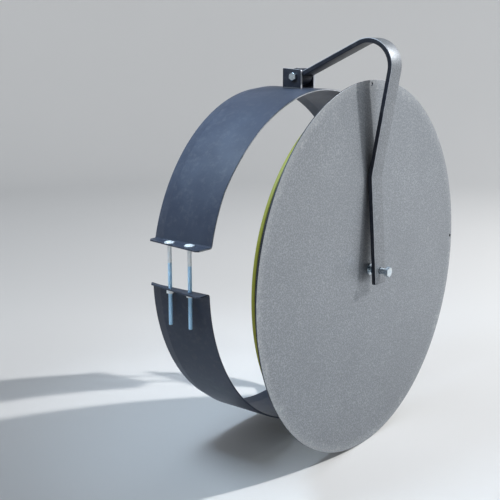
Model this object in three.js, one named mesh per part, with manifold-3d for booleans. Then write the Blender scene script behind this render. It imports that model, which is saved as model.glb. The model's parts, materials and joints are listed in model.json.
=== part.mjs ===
// Flap cap for the end of a large corrugated drain pipe.
//
// Two clamp saddles grip the pipe. A bent flat-bar arm hinges between two ears on the upper saddle
// and carries a round disc, with its seal, on one long bolt.
//
// Millimetres. +Z is up, +Y points into the pipe and -Y outwards. The origin lies on the pipe's axis,
// in the plane where the seal meets the end of the pipe.

import * as THREE from 'three';
import { mergeVertices } from 'three/addons/utils/BufferGeometryUtils.js';
import Module from 'manifold-3d';

const wasm = await Module();
wasm.setup();

// ---------------------------------------------------------------- driving dimensions

const GAP = 0.3; // air between two pieces that touch on the real object
const DEG = Math.PI / 180;

const PIPE_R = 438; // crest radius of the pipe that the saddles grip

const SHEET = 4;
const SADDLE_R = PIPE_R + 0.5 + SHEET / 2; // middle of the sheet
const SADDLE_FRONT = 120;
const SADDLE_REAR = 304;
const HOOD_REACH = 20; // how far the top of the front edge runs out past its sides
const HOOD_ANGLE = 60 * DEG; // half of the arc over which it does so
const CROWN_FRONT = 3.5; // how far the top of the upper saddle stands off the pipe, front and rear
const CROWN_REAR = 8.5;
const CROWN_ANGLE = 70 * DEG; // half of the arc over which it does so
const LIP_LENGTH = 31; // rear rim, pressed inwards
const LIP_DROP = 6;
const BEND_R = 6; // flange bend, to the middle of the sheet

const UPPER_FLANGE_Z = 96; // middle of each flange's sheet
const LOWER_FLANGE_Z = -13;
const FLANGE_TIP_FRONT = 481; // distance of the outer edge from the pipe's axis
const FLANGE_TIP_REAR = 450;
const FLANGE_CORNER = 8;

const CLAMP_X = 453; // M10 x 200 coach bolts
const CLAMP_YS = [168.5, 231.5];
const CLAMP = { r: 5, length: 200, headR: 12.3, headH: 5.4, neck: 10, neckH: 6, nutAf: 16, nutH: 8.4 };

const PIVOT = { y: 175.5, z: 476.5 }; // M12 x 85 bolt through the ears
const PIN = { r: 6, length: 85, af: 19, headH: 7.5, nutH: 10.8, washerR: 12, washerT: 2.5 };
const EAR_IN = 26; // inner faces, either side of the middle
const EAR_T = 7;
const EAR_YS = [152.6, 210];
const EAR_TOPS = [494, 498]; // front and rear corners
const EAR_CORNER = 2.5;

const HUB_R = 21;
const HUB_HALF = 23.6;
const HUB_WASHER = { r: 13, t: 1.6 };

const BAR = { width: 50, t: 12 };
const ELBOW = { y: -38, z: 503.2, outerR: 69 }; // centre of the arm's big bend
const RISE = 24.75 * DEG; // upper leg, above level, going outwards
const LEAN = 9.75 * DEG; // long leg, towards the disc, going down
const KINK_Z = 233.4;
const SPLAY = 4.25 * DEG; // last leg, away from the disc, going down
const ARM_END_Z = -42;

const DISC = { r: 480, t: 5, z: -9, front: -48 };
const RIM_HOLES = { r: 4.5, circle: 470, angles: [1.8 * DEG, 91.8 * DEG] }; // angles from +X
const SEAL = { outerR: 438, innerR: 412, lip: 10, round: 3 };

const STUD = { r: 8, length: 80, af: 24, headH: 10, underHead: -97, nutH: 8, lockNutH: 16 }; // M16 x 80
const ARM_HOLE_R = 9;
const DISC_BORE_R = 8.8;
const DISC_WASHER_R = 15;
const BACK_WASHER_R = 25;
const WASHER_T = 3;

// ---------------------------------------------------------------- solids

// A closed geometry as a Manifold: welded, with the slivers at a lathe's poles dropped.
function toManifold(geometry) {
  const bare = new THREE.BufferGeometry();
  bare.setAttribute('position', geometry.getAttribute('position'));
  bare.setIndex(geometry.getIndex());
  const welded = mergeVertices(bare, 1e-4);
  const index = welded.getIndex().array;
  const triangles = [];
  for (let i = 0; i < index.length; i += 3) {
    const [a, b, c] = [index[i], index[i + 1], index[i + 2]];
    if (a !== b && b !== c && c !== a) triangles.push(a, b, c);
  }
  const mesh = new wasm.Mesh({
    numProp: 3,
    vertProperties: new Float32Array(welded.getAttribute('position').array),
    triVerts: new Uint32Array(triangles),
  });
  mesh.merge();
  return new wasm.Manifold(mesh);
}

function fromManifold(manifold) {
  const { vertProperties, triVerts } = manifold.getMesh();
  const geometry = new THREE.BufferGeometry();
  geometry.setAttribute('position', new THREE.BufferAttribute(vertProperties, 3));
  geometry.setIndex(new THREE.BufferAttribute(triVerts, 1));
  geometry.computeVertexNormals();
  return geometry;
}

function join(...geometries) {
  const [first, ...rest] = geometries.map(toManifold);
  return fromManifold(rest.reduce((solid, next) => solid.add(next), first));
}

function cut(geometry, ...cutters) {
  const [first, ...rest] = [geometry, ...cutters].map(toManifold);
  return fromManifold(rest.reduce((solid, next) => solid.subtract(next), first));
}

// A profile of [radius, height] points turned about the Y axis.
function turned(points, segments = 48) {
  return new THREE.LatheGeometry(points.map(([r, y]) => new THREE.Vector2(r, y)), segments);
}

function cylinder(r, y0, y1, segments = 48) {
  return turned([[0, y0], [r, y0], [r, y1], [0, y1]], segments);
}

function tube(outerR, innerR, y0, y1, segments = 48) {
  return turned([[innerR, y0], [outerR, y0], [outerR, y1], [innerR, y1], [innerR, y0]], segments);
}

// A hexagon across flats af, standing on the Y axis from y0 to y1, with an optional bore.
function hexagon(af, y0, y1, boreR = 0) {
  const shape = new THREE.Shape();
  const corner = af / Math.sqrt(3);
  for (let i = 0; i < 6; i += 1) {
    const angle = (i * 60 + 30) * DEG;
    const point = [corner * Math.cos(angle), corner * Math.sin(angle)];
    if (i === 0) shape.moveTo(...point);
    else shape.lineTo(...point);
  }
  shape.closePath();
  if (boreR > 0) shape.holes.push(new THREE.Path().absarc(0, 0, boreR, 0, 2 * Math.PI, true));
  const prism = new THREE.ExtrudeGeometry(shape, { depth: y1 - y0, bevelEnabled: false, curveSegments: 24 });
  return prism.rotateX(-90 * DEG).translate(0, y0, 0);
}

// A hexagon bolt on the Y axis: underside of the head at 0, shank along +Y.
function hexBolt({ r, length, af, headH }) {
  const tip = turned([[0, -1], [r, -1], [r, length - 1.2], [r - 1.2, length], [0, length]]);
  return join(hexagon(af, -headH, 0), tip);
}

// A coach bolt on the Y axis: domed head, square neck, shank along +Y.
function coachBolt({ r, length, headR, headH, neck, neckH }) {
  const dome = [[0, 0], [headR, 0], [headR, 0.8]];
  for (let angle = 15; angle < 90; angle += 15) {
    dome.push([headR * Math.cos(angle * DEG), 0.8 + (headH - 0.8) * Math.sin(angle * DEG)]);
  }
  dome.push([0, headH]);
  const head = turned(dome, 24).scale(1, -1, 1);
  head.setIndex([...head.getIndex().array].reverse());
  const square = new THREE.BoxGeometry(neck, neckH + 1, neck).translate(0, neckH / 2 - 0.5, 0);
  const shank = turned([[0, neckH - 1], [r, neckH - 1], [r, length - 1], [r - 1, length], [0, length]], 24);
  return join(head, square, shank);
}

// An outline drawn in (y, z) and pushed out along X.
function plateAcross(shape, x0, x1, curveSegments = 12) {
  const plate = new THREE.ExtrudeGeometry(shape, { depth: x1 - x0, bevelEnabled: false, curveSegments });
  const axes = new THREE.Matrix4().makeBasis(
    new THREE.Vector3(0, 1, 0),
    new THREE.Vector3(0, 0, 1),
    new THREE.Vector3(1, 0, 0),
  );
  return plate.applyMatrix4(axes).translate(x0, 0, 0);
}

// ---------------------------------------------------------------- saddles

const lerp = (a, b, t) => a + (b - a) * t;

function saddleRadius(y) {
  const intoLip = Math.max(0, (y - (SADDLE_REAR - LIP_LENGTH)) / LIP_LENGTH);
  return SADDLE_R - LIP_DROP * intoLip;
}

// The upper saddle's extra radius, largest at its top.
function crown(angle, y) {
  const share = Math.min(Math.abs(angle) / CROWN_ANGLE, 1);
  const top = lerp(CROWN_FRONT, CROWN_REAR, (y - SADDLE_FRONT) / (SADDLE_REAR - SADDLE_FRONT));
  return top * Math.cos(share * 90 * DEG) ** 2;
}

function hoodEdge(angle) {
  const share = Math.min(Math.abs(angle) / HOOD_ANGLE, 1);
  return SADDLE_FRONT - HOOD_REACH * (1 - share ** 2);
}

function flangeTip(y) {
  return lerp(FLANGE_TIP_FRONT, FLANGE_TIP_REAR, (y - SADDLE_FRONT) / (SADDLE_REAR - SADDLE_FRONT));
}

// One half of a saddle's cross-section, from the top of its arch to the tip of its flange. Each point has
// the direction that points out of the sheet. The flange lies flangeZ above the level of the axis.
function halfSection(radius, tip, flangeZ) {
  const start = Math.acos((flangeZ + BEND_R) / (radius + BEND_R));
  const bendX = (radius + BEND_R) * Math.sin(start);
  const points = [];
  const arcSteps = 24;
  for (let i = 0; i <= arcSteps; i += 1) {
    const angle = (start * i) / arcSteps;
    const out = [Math.sin(angle), Math.cos(angle)];
    points.push({ x: radius * out[0], z: radius * out[1], out, angle });
  }
  const bendSteps = 4;
  for (let i = 1; i <= bendSteps; i += 1) {
    const angle = start * (1 - i / bendSteps);
    const out = [Math.sin(angle), Math.cos(angle)];
    points.push({
      x: bendX - BEND_R * out[0],
      z: flangeZ + BEND_R - BEND_R * out[1],
      out,
      angle: start,
    });
  }
  points.push({ x: tip, z: flangeZ, out: [0, 1], angle: start });
  return points;
}

function wholeSection(radius, tip, flangeZ) {
  const right = halfSection(radius, tip, flangeZ);
  const mirror = ({ x, z, out, angle }) => ({ x: -x, z, out: [-out[0], out[1]], angle: -angle });
  return [...right.slice(1).map(mirror).reverse(), ...right];
}

// The bent sheet, as rows of sections from its front edge to its rear edge.
function saddleSheet(flangeZ, isUpper) {
  const stations = [
    { y: SADDLE_FRONT, isFront: true, follows: 0, trim: FLANGE_CORNER },
    { y: SADDLE_FRONT, isFront: true, follows: FLANGE_CORNER, trim: 0 },
    { y: SADDLE_FRONT + 40, trim: 0 },
    { y: SADDLE_REAR - LIP_LENGTH, trim: 0 },
    { y: SADDLE_REAR - FLANGE_CORNER, trim: 0 },
    { y: SADDLE_REAR, trim: FLANGE_CORNER },
  ];
  const rows = stations.map(({ y, isFront = false, follows = 0, trim }) => {
    const section = wholeSection(saddleRadius(y), flangeTip(y) - trim, flangeZ);
    if (!isUpper) return section.map((point) => ({ ...point, y: y + follows }));
    return section.map((point) => {
      const along = isFront ? hoodEdge(point.angle) + follows : y;
      const rise = crown(point.angle, along);
      return { ...point, x: point.x + point.out[0] * rise, y: along, z: point.z + point.out[1] * rise };
    });
  });
  const columns = rows[0].length;
  const positions = [];
  for (const side of [SHEET / 2, -SHEET / 2]) {
    for (const row of rows) {
      for (const { x, y, z, out } of row) positions.push(x + out[0] * side, y, z + out[1] * side);
    }
  }
  const outer = (i, j) => i * columns + j;
  const inner = (i, j) => (rows.length + i) * columns + j;
  const index = [];
  const quad = (a, b, c, d) => index.push(a, b, c, a, c, d);
  for (let i = 0; i + 1 < rows.length; i += 1) {
    for (let j = 0; j + 1 < columns; j += 1) {
      quad(outer(i, j), outer(i, j + 1), outer(i + 1, j + 1), outer(i + 1, j));
      quad(inner(i, j), inner(i + 1, j), inner(i + 1, j + 1), inner(i, j + 1));
    }
    const last = columns - 1;
    quad(outer(i, 0), outer(i + 1, 0), inner(i + 1, 0), inner(i, 0));
    quad(outer(i, last), inner(i, last), inner(i + 1, last), outer(i + 1, last));
  }
  const end = rows.length - 1;
  for (let j = 0; j + 1 < columns; j += 1) {
    quad(outer(0, j), inner(0, j), inner(0, j + 1), outer(0, j + 1));
    quad(outer(end, j), outer(end, j + 1), inner(end, j + 1), inner(end, j));
  }
  const geometry = new THREE.BufferGeometry();
  geometry.setAttribute('position', new THREE.Float32BufferAttribute(positions, 3));
  geometry.setIndex(index);
  return geometry;
}

function clampPlaces() {
  return [-1, 1].flatMap((side) => CLAMP_YS.map((y) => ({ x: side * CLAMP_X, y })));
}

function upperSaddle() {
  const holes = clampPlaces().map(({ x, y }) => {
    const size = CLAMP.neck + 0.8;
    return new THREE.BoxGeometry(size, size, 3 * SHEET).translate(x, y, UPPER_FLANGE_Z);
  });
  return cut(saddleSheet(UPPER_FLANGE_Z, true), ...holes);
}

function lowerSaddle() {
  const upsideDown = saddleSheet(-LOWER_FLANGE_Z, false).rotateY(180 * DEG);
  const holes = clampPlaces().map(({ x, y }) => {
    const drill = cylinder(CLAMP.r + 0.5, -2 * SHEET, 2 * SHEET, 32).rotateX(90 * DEG);
    return drill.translate(x, y, LOWER_FLANGE_Z);
  });
  return cut(upsideDown, ...holes);
}

// ---------------------------------------------------------------- hinge

function hingeEar(side) {
  const saddleTop = (y) => Math.sqrt((SADDLE_R + SHEET / 2 + crown(0, y)) ** 2 - EAR_IN ** 2);
  const [y0, y1] = EAR_YS;
  const [frontTop, rearTop] = EAR_TOPS;
  const shape = new THREE.Shape();
  shape.moveTo(y0, saddleTop(y0) + GAP);
  shape.lineTo(y1, saddleTop(y1) + GAP);
  shape.absarc(y1 - EAR_CORNER, rearTop - EAR_CORNER, EAR_CORNER, 0, 90 * DEG, false);
  shape.absarc(y0 + EAR_CORNER, frontTop - EAR_CORNER, EAR_CORNER, 90 * DEG, 180 * DEG, false);
  shape.closePath();
  shape.holes.push(new THREE.Path().absarc(PIVOT.y, PIVOT.z, PIN.r + 0.5, 0, 2 * Math.PI, true));
  const [x0, x1] = side > 0 ? [EAR_IN, EAR_IN + EAR_T] : [-EAR_IN - EAR_T, -EAR_IN];
  return plateAcross(shape, x0, x1, 16);
}

// A solid made on the Y axis, laid along the pivot with its local 0 at x.
function onPivot(geometry, x) {
  return geometry.rotateZ(-90 * DEG).translate(x, PIVOT.y, PIVOT.z);
}

// A solid made on the Y axis, moved to the disc's axis.
function onDisc(geometry) {
  return geometry.translate(0, 0, DISC.z);
}

// ---------------------------------------------------------------- arm

// The bar's faces, listed as lines: a point on the outer face and the direction down the bar.
const armLegs = (() => {
  const { y, z, outerR } = ELBOW;
  const riseOut = [Math.sin(RISE), Math.cos(RISE)];
  const leanOut = [-Math.cos(LEAN), -Math.sin(LEAN)];
  const bendStart = [y + outerR * riseOut[0], z + outerR * riseOut[1]];
  const bendEnd = [y + outerR * leanOut[0], z + outerR * leanOut[1]];
  const root = [PIVOT.y, bendStart[1] - (PIVOT.y - bendStart[0]) * Math.tan(RISE)];
  const kink = [bendEnd[0] + (bendEnd[1] - KINK_Z) * Math.tan(LEAN), KINK_Z];
  const end = [kink[0] - (KINK_Z - ARM_END_Z) * Math.tan(SPLAY), ARM_END_Z];
  return { root, bendStart, bendEnd, kink, end };
})();

function flapArm() {
  const { root, bendStart, bendEnd, kink, end } = armLegs;
  const { t, width } = BAR;
  const shape = new THREE.Shape();
  shape.moveTo(root[0], root[1]);
  shape.lineTo(bendStart[0], bendStart[1]);
  shape.absarc(ELBOW.y, ELBOW.z, ELBOW.outerR, 90 * DEG - RISE, 180 * DEG + LEAN, false);
  shape.lineTo(bendEnd[0], bendEnd[1]);
  shape.lineTo(kink[0], kink[1]);
  shape.lineTo(end[0], end[1]);
  shape.lineTo(end[0] + t * Math.cos(SPLAY), end[1] - t * Math.sin(SPLAY));
  const mitre = (LEAN - SPLAY) / 2;
  const across = t / Math.cos((LEAN + SPLAY) / 2);
  shape.lineTo(kink[0] + across * Math.cos(mitre), kink[1] + across * Math.sin(mitre));
  shape.absarc(ELBOW.y, ELBOW.z, ELBOW.outerR - t, 180 * DEG + LEAN, 90 * DEG - RISE, true);
  shape.lineTo(root[0] - t * Math.sin(RISE), root[1] - t * Math.cos(RISE));
  shape.closePath();
  const bar = plateAcross(shape, -width / 2, width / 2, 20);
  const cope = onPivot(cylinder(HUB_R + GAP, -width, width, 64), 0);
  const boltHole = cylinder(ARM_HOLE_R, DISC.front - 60, DISC.front - 5, 32);
  return cut(bar, cope, onDisc(boltHole));
}

// Inner face of the arm on the disc's axis.
const armInnerAtStud = (() => {
  const outer = armLegs.kink[0] - (KINK_Z - DISC.z) * Math.tan(SPLAY);
  return outer + BAR.t / Math.cos(SPLAY);
})();

// ---------------------------------------------------------------- disc and seal

const discBack = DISC.front + DISC.t;

function flapDisc() {
  const plate = turned([[0, DISC.front], [DISC.r, DISC.front], [DISC.r, discBack], [0, discBack]], 128);
  const bore = cylinder(DISC_BORE_R, DISC.front - 5, discBack + 5);
  const holes = RIM_HOLES.angles.map((angle) => {
    const hole = cylinder(RIM_HOLES.r, DISC.front - 5, discBack + 5, 24);
    return hole.translate(RIM_HOLES.circle * Math.cos(angle), 0, RIM_HOLES.circle * Math.sin(angle));
  });
  return onDisc(cut(plate, bore, ...holes));
}

function sealBacking() {
  return onDisc(tube(SEAL.outerR, SEAL.innerR, discBack + GAP, -SEAL.lip - GAP, 112));
}

function sealLip() {
  const { outerR, innerR, lip, round } = SEAL;
  const profile = [[innerR, -lip], [outerR, -lip], [outerR, -round]];
  for (const angle of [30, 60, 90]) {
    profile.push([outerR - round + round * Math.cos(angle * DEG), -round + round * Math.sin(angle * DEG)]);
  }
  profile.push([innerR, 0], [innerR, -lip]);
  return onDisc(turned(profile, 112));
}

// ---------------------------------------------------------------- finishes

const finish = (color, roughness, metalness) => ({ color, roughness, metalness });
const DARK_STEEL = finish(0x2c3140, 0.5, 0.3);
const SADDLE_STEEL = finish(0x4a5365, 0.55, 0.3);
const GREY_STEEL = finish(0x8f979f, 0.6, 0.4);
const ZINC = finish(0xc9d6e6, 0.3, 0.9);
const BLACK_RUBBER = finish(0x15181c, 0.8, 0);
const LIME_RUBBER = finish(0x9aa52c, 0.7, 0);

const group = new THREE.Group();
group.name = 'pipe_flap_cap';

function add(name, geometry, look) {
  const mesh = new THREE.Mesh(geometry, new THREE.MeshStandardMaterial(look));
  mesh.name = name;
  group.add(mesh);
}

add('upper_saddle', upperSaddle(), SADDLE_STEEL);
add('lower_saddle', lowerSaddle(), SADDLE_STEEL);
add('hinge_ear_left', hingeEar(-1), DARK_STEEL);
add('hinge_ear_right', hingeEar(1), DARK_STEEL);

const earOuter = EAR_IN + EAR_T;
const pinWasher = tube(PIN.washerR, PIN.r + 0.5, 0, PIN.washerT);
const pinNut = hexagon(PIN.af, 0, PIN.nutH, PIN.r + 0.3);
add('pivot_bolt', onPivot(hexBolt(PIN), -earOuter - GAP), ZINC);
add('pivot_washer', onPivot(pinWasher, earOuter + GAP), ZINC);
add('pivot_nut', onPivot(pinNut, earOuter + PIN.washerT + 2 * GAP), ZINC);

add('flap_arm', flapArm(), GREY_STEEL);
add('arm_hub', onPivot(tube(HUB_R, PIN.r + 0.5, -HUB_HALF, HUB_HALF, 64), 0), DARK_STEEL);
for (const [side, start] of [['left', -HUB_HALF - GAP - HUB_WASHER.t], ['right', HUB_HALF + GAP]]) {
  const washer = tube(HUB_WASHER.r, PIN.r + 0.5, start, start + HUB_WASHER.t);
  add(`hub_washer_${side}`, onPivot(washer, 0), ZINC);
}

const clampNames = ['left_front', 'left_rear', 'right_front', 'right_rear'];
clampPlaces().forEach(({ x, y }, i) => {
  const bolt = coachBolt(CLAMP).rotateX(-90 * DEG).translate(x, y, UPPER_FLANGE_Z + SHEET / 2 + GAP);
  const nut = hexagon(CLAMP.nutAf, 0, CLAMP.nutH, CLAMP.r + 0.3).rotateX(-90 * DEG);
  add(`clamp_bolt_${clampNames[i]}`, bolt, ZINC);
  add(`clamp_nut_${clampNames[i]}`, nut.translate(x, y, LOWER_FLANGE_Z - SHEET / 2 - GAP), ZINC);
});

const studNutFront = armInnerAtStud + 1.4;
const lockNutFront = discBack + WASHER_T + 2 * GAP;
const boreR = STUD.r + 0.3;
add('disc_bolt', onDisc(hexBolt(STUD).translate(0, STUD.underHead, 0)), ZINC);
add('arm_nut', onDisc(hexagon(STUD.af, studNutFront, studNutFront + STUD.nutH, boreR)), ZINC);
add('disc_washer', onDisc(tube(DISC_WASHER_R, boreR, DISC.front - GAP - WASHER_T, DISC.front - GAP)), ZINC);
add('back_washer', onDisc(tube(BACK_WASHER_R, boreR, discBack + GAP, discBack + GAP + WASHER_T)), ZINC);
add('lock_nut', onDisc(hexagon(STUD.af, lockNutFront, lockNutFront + STUD.lockNutH, boreR)), ZINC);

add('flap_disc', flapDisc(), GREY_STEEL);
add('seal_backing_ring', sealBacking(), BLACK_RUBBER);
add('seal_lip_ring', sealLip(), LIME_RUBBER);

export default group;
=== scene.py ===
"""Looks of the flap cap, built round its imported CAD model. Metres, +Z up, +Y into the pipe."""

import json
import math

import bmesh
import bpy
import numpy as np
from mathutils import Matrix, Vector


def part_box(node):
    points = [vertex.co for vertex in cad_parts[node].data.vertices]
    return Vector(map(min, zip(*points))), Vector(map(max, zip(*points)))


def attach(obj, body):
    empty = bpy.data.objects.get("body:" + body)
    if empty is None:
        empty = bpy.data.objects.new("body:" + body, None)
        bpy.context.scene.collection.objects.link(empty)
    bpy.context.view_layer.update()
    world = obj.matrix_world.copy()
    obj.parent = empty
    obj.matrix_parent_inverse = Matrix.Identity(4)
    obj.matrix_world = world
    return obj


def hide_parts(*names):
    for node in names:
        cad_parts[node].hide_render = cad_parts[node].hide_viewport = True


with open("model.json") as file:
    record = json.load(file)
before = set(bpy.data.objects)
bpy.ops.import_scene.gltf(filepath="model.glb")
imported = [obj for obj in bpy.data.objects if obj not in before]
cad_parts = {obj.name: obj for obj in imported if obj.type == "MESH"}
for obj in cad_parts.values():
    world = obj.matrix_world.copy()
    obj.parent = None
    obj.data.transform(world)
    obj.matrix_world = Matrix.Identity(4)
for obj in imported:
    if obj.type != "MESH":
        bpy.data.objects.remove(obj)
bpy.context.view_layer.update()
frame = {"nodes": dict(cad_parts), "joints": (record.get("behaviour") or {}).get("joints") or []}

# ---------------------------------------------------------------- sizes read from the frame

MM = 0.001
JOINTS = {joint["name"]: joint for joint in frame["joints"]}
PIVOT = Vector(JOINTS["flap_swing"]["pos_m"])
DISC_CENTRE = Vector(JOINTS["disc_turn"]["pos_m"])
BOX = {name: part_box(name) for name in frame["nodes"]}


def low(node):
    return BOX[node][0]


def high(node):
    return BOX[node][1]


def size(node):
    return high(node) - low(node)


# ---------------------------------------------------------------- mesh helpers

ROUND = 48  # samples round a bolt or nut; a multiple of 6 and of 8, so corners are sampled
SHARP = 32  # degrees between two faces above which their edge is sharp


def finish_mesh(name, points, faces, materials, body, replaces=(), sharp=SHARP):
    """A mesh object from points and faces, shaded smooth up to a sharp angle, riding on a body."""
    mesh = bpy.data.meshes.new(name)
    mesh.from_pydata([tuple(p) for p in points], [], [tuple(f) for f in faces])
    tidy = bmesh.new()
    tidy.from_mesh(mesh)
    bmesh.ops.remove_doubles(tidy, verts=tidy.verts, dist=1e-7)
    bmesh.ops.recalc_face_normals(tidy, faces=tidy.faces)
    tidy.to_mesh(mesh)
    tidy.free()
    piece = bpy.data.objects.new(name, mesh)
    bpy.context.scene.collection.objects.link(piece)
    for material in materials:
        mesh.materials.append(material)
    shade(piece, sharp)
    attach(piece, body)
    if replaces:
        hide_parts(*replaces)
    return piece


def shade(piece, sharp):
    mesh = piece.data
    mesh.polygons.foreach_set("use_smooth", [True] * len(mesh.polygons))
    mesh.set_sharp_from_angle(angle=math.radians(sharp))
    mesh.update()


def assign_face(piece, slot_index, test):
    """Gives a material slot to the faces whose (centre, normal) passes a test."""
    for polygon in piece.data.polygons:
        if test(polygon.center, polygon.normal):
            polygon.material_index = slot_index


def stack(rings, loop=False, start=None, end=None):
    """Points and faces of rings of equal length, joined in order. A loop joins the last to the first;
    start and end are points that close the first and last ring."""
    count = len(rings[0])
    points = [point for ring in rings for point in ring]
    faces = []
    steps = len(rings) if loop else len(rings) - 1
    for i in range(steps):
        a, b = i * count, (i + 1) % len(rings) * count
        for j in range(count):
            k = (j + 1) % count
            faces.append((a + j, a + k, b + k, b + j))
    for tip, base in ((start, 0), (end, (len(rings) - 1) * count)):
        if tip is not None:
            points.append(tip)
            hub = len(points) - 1
            faces += [(hub, base + j, base + (j + 1) % count) for j in range(count)]
    return np.array(points, float), faces


def plug(radius, start, end, count=ROUND):
    """A closed cylinder along Z, to cut a hole with. radius is a number or an array over the angles."""
    return stack([ring(radius, start, count), ring(radius, end, count)], start=(0, 0, start), end=(0, 0, end))


def turn_angles(count=ROUND):
    return np.arange(count) * 2 * math.pi / count


def ring(radius, z, count=ROUND):
    """Points of a ring about Z. radius and z are numbers or arrays over the ring's angles."""
    angle = turn_angles(count)
    radius = np.broadcast_to(radius, count)
    z = np.broadcast_to(z, count)
    return np.stack([radius * np.cos(angle), radius * np.sin(angle), z], axis=1)


def hex_radius(across_flats):
    angle = turn_angles()
    off = angle % (math.pi / 3) - math.pi / 6
    return across_flats / 2 / np.cos(off)


def square_radius(side):
    angle = turn_angles()
    return side / 2 / np.maximum(np.abs(np.cos(angle)), np.abs(np.sin(angle)))


def placed(points, axis, origin):
    """Points drawn about Z, laid along the axis with their 0 at origin. Hexagon corners point up, or
    along Y on an upright axis."""
    z = Vector(axis).normalized()
    up = Vector((0, 0, 1)) if abs(z.z) < 0.5 else Vector((0, 1, 0))
    x = (up - z * up.dot(z)).normalized()
    y = z.cross(x)
    turn = np.array([x, y, z], float)
    return points @ turn + np.array(origin, float)


# ---------------------------------------------------------------- fasteners

THREAD_DEPTH = 0.6134  # of the pitch
THREAD_SAMPLES = 8  # rings in one pitch
HEX_FACE = 0.475  # radius of a hexagon's flat end face, of its width across flats
HEX_CHAMFER = math.radians(28)
NUT_SINK = 0.8 * MM  # countersink of a nut's bore
NUT_CLEARANCE = 0.2 * MM  # from a nut's bore to its bolt
PIN_CLEARANCE = 0.5 * MM  # from a hole in the hinge to its bolt


def thread_rings(radius, pitch, start, end):
    """Rings of a screw thread from start to end along Z, with a chamfered tip."""
    depth = THREAD_DEPTH * pitch
    turns = turn_angles() / (2 * math.pi)
    rings = []
    for z in np.arange(start, end, pitch / THREAD_SAMPLES):
        wave = np.abs(((z / pitch - turns) % 1.0) * 2 - 1)
        groove = np.clip((wave - 0.125) / 0.625, 0, 1)
        fade = min(1.0, (z - start) / pitch)
        chamfer = max(0.0, z - (end - depth))
        rings.append(ring(np.minimum(radius - depth * groove * fade, radius - chamfer), z))
    rings.append(ring(radius - depth, end))
    return rings


def bolt_points(head_rings, head_top, radius, pitch, thread_start, length):
    rings = list(head_rings)
    rings.append(ring(radius, thread_start))
    rings += thread_rings(radius, pitch, thread_start, length)[1:]
    return stack(rings, start=(0, 0, head_top), end=(0, 0, length))


def hex_head_rings(across_flats, height, radius):
    corner = hex_radius(across_flats)
    flat = across_flats * HEX_FACE
    slope = (corner - flat) * math.tan(HEX_CHAMFER)
    washer = 0.4 * MM  # the raised face under the head
    fillet = 0.4 * MM
    return [
        ring(flat * 0.55, -height + 0.15 * MM),
        ring(flat * 0.62, -height),
        ring(flat, -height),
        ring(corner, -height + slope),
        ring(corner, -washer),
        ring(flat, -washer),
        ring(flat, 0),
        ring(radius + fillet, 0),
        ring(radius, fillet),
    ]


def coach_head_rings(head_radius, height, neck, neck_height, radius):
    """A mushroom head over a square neck."""
    rim = 0.8 * MM
    rings = []
    for step in range(1, 9):
        angle = math.radians(90 - step * 10.5)
        rings.append(ring(head_radius * math.cos(angle), -rim - (height - rim) * math.sin(angle)))
    square = square_radius(neck)
    rings += [
        ring(head_radius, -rim),
        ring(head_radius - 0.2 * MM, 0),
        ring(square, 0),
        ring(square, neck_height - 0.8 * MM),
        ring(np.minimum(square, radius + 0.3 * MM), neck_height),
        ring(radius, neck_height + 0.5 * MM),
    ]
    return rings


def nut_points(across_flats, height, bore, collar=0.0):
    """A chamfered nut standing on Z = 0, with a plain domed collar on top if it is a lock nut."""
    corner = hex_radius(across_flats)
    flat = across_flats * HEX_FACE
    slope = (corner - flat) * math.tan(HEX_CHAMFER)
    wall_top = height - collar
    rings = [
        ring(bore, NUT_SINK),
        ring(bore + NUT_SINK, 0),
        ring(flat, 0),
        ring(corner, slope),
        ring(corner, wall_top - slope),
        ring(flat, wall_top),
    ]
    if collar:
        rings += [
            ring(flat * 0.93, wall_top + 0.1 * MM),
            ring(flat * 0.93, height - 1.4 * MM),
            ring(flat * 0.86, height - 0.3 * MM),
            ring(flat * 0.78, height),
            ring(bore + NUT_SINK, height - 0.2 * MM),
        ]
    else:
        rings.append(ring(bore + NUT_SINK, wall_top))
    rings.append(ring(bore, height - NUT_SINK))
    return stack(rings, loop=True)


def washer_points(outer, inner, thick):
    edge = 0.3 * MM
    return stack(
        [
            ring(inner, edge),
            ring(inner + edge, 0),
            ring(outer - edge, 0),
            ring(outer, edge),
            ring(outer, thick - edge),
            ring(outer - edge, thick),
            ring(inner + edge, thick),
            ring(inner, thick - edge),
        ],
        loop=True,
    )


# ---------------------------------------------------------------- node materials


def node_material(name):
    material = bpy.data.materials.new(name)
    material.use_nodes = True
    nodes = material.node_tree.nodes
    shader = nodes["Principled BSDF"]
    place = nodes.new("ShaderNodeTexCoord").outputs["Object"]
    return material, material.node_tree, shader, place


def noise(tree, place, scale, detail=4.0, roughness=0.55, distortion=0.0):
    node = tree.nodes.new("ShaderNodeTexNoise")
    node.inputs["Scale"].default_value = scale
    node.inputs["Detail"].default_value = detail
    node.inputs["Roughness"].default_value = roughness
    node.inputs["Distortion"].default_value = distortion
    tree.links.new(place, node.inputs["Vector"])
    return node.outputs["Fac"]


def ramp(tree, value, stops):
    """A colour ramp. stops are (position, colour) with a grey number or an (r, g, b) colour."""
    node = tree.nodes.new("ShaderNodeValToRGB")
    band = node.color_ramp
    while len(band.elements) < len(stops):
        band.elements.new(0.5)
    for element, (position, colour) in zip(band.elements, stops):
        element.position = position
        colour = (colour,) * 3 if isinstance(colour, (int, float)) else colour
        element.color = (*colour, 1)
    tree.links.new(value, node.inputs["Fac"])
    return node.outputs["Color"]


def mix(tree, share, a, b):
    """A mix of two colours, each a socket or a colour, by a socket or a number."""
    node = tree.nodes.new("ShaderNodeMix")
    node.data_type = "RGBA"
    for socket, value in ((node.inputs[0], share), (node.inputs[6], a), (node.inputs[7], b)):
        if isinstance(value, bpy.types.NodeSocket):
            tree.links.new(value, socket)
        elif isinstance(value, (int, float)):
            socket.default_value = value
        else:
            socket.default_value = (*value, 1)
    return node.outputs[2]


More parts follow.
